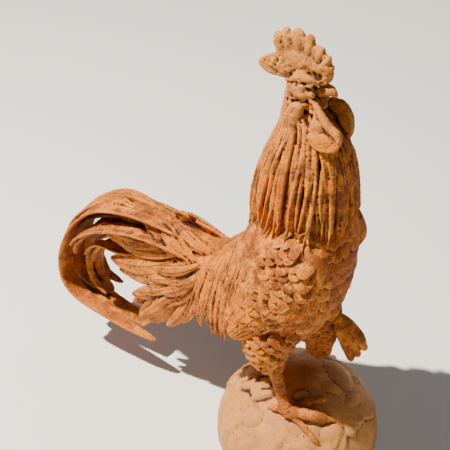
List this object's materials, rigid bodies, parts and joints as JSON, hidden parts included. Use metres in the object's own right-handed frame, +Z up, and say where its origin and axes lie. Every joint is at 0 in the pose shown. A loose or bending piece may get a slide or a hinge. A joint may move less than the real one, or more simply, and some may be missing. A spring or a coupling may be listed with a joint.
{
  "type": "cast iron rooster",
  "caption": "Garden rooster figure of cast iron, standing on one foot on a round rock, with fanned comb, long hackle, scaled wings and curled sickle tail",
  "frame": {"origin": "centre of the flat underside of the rock that the bird stands on", "axes": "+Z up, +X the way the beak and breast point, +Y to the bird's left, where its raised foot is"},
  "size_m": [0.4065, 0.178, 0.5035],
  "materials": {
    "rusted_iron": "matt granular surface rust, tan-orange on the high spots and dark brown in the hollows"
  },
  "bodies": {
    "root": {"rooster": "rusted_iron"}
  },
  "joints": []
}
